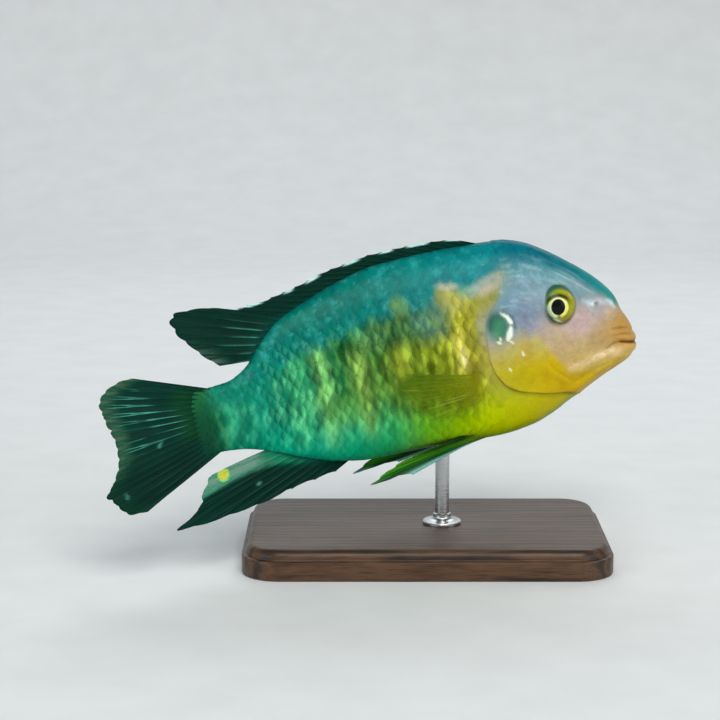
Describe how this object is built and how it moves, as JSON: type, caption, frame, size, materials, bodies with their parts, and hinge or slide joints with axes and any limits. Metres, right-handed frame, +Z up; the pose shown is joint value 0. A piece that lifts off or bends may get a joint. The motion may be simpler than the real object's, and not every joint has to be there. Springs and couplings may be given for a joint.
{
  "type": "tropheops cichlid display model",
  "caption": "Still life-size tropheops cichlid, snout raised and tail swung to its right, held over a flat base by one short rod.",
  "frame": {"origin": "on the underside of the stand's base, straight below the point where the rod meets the belly", "axes": "+X towards the snout, +Y away from the flank that the picture shows, +Z up"},
  "size_m": [0.1237, 0.0622, 0.0753],
  "materials": {
    "head_skin": "painted resin, wet-looking satin gloss",
    "cover_skin": "painted resin, wet-looking satin gloss",
    "flank_skin": "painted resin with scales, satin gloss",
    "stalk_skin": "painted resin with scales, satin gloss",
    "dark_fin": "thin painted membrane over rays, satin",
    "clear_fin": "thin tinted membrane over rays, satin",
    "eye": "clear gloss over painted iris",
    "stained_wood": "dark stain, satin lacquer",
    "steel": "brushed"
  },
  "bodies": {
    "root": {"head": "head_skin", "gill_cover_right": "cover_skin", "gill_cover_left": "cover_skin", "eye_right": "eye", "eye_left": "eye", "trunk": "flank_skin", "tail_stalk": "stalk_skin", "dorsal_fin": "dark_fin", "anal_fin": "dark_fin", "tail_fin": "dark_fin", "pectoral_fin_right": "clear_fin", "pectoral_fin_left": "clear_fin", "pelvic_fin_right": "clear_fin", "pelvic_fin_left": "clear_fin", "stand_base": "stained_wood", "stand_rod": "steel"}
  },
  "joints": []
}
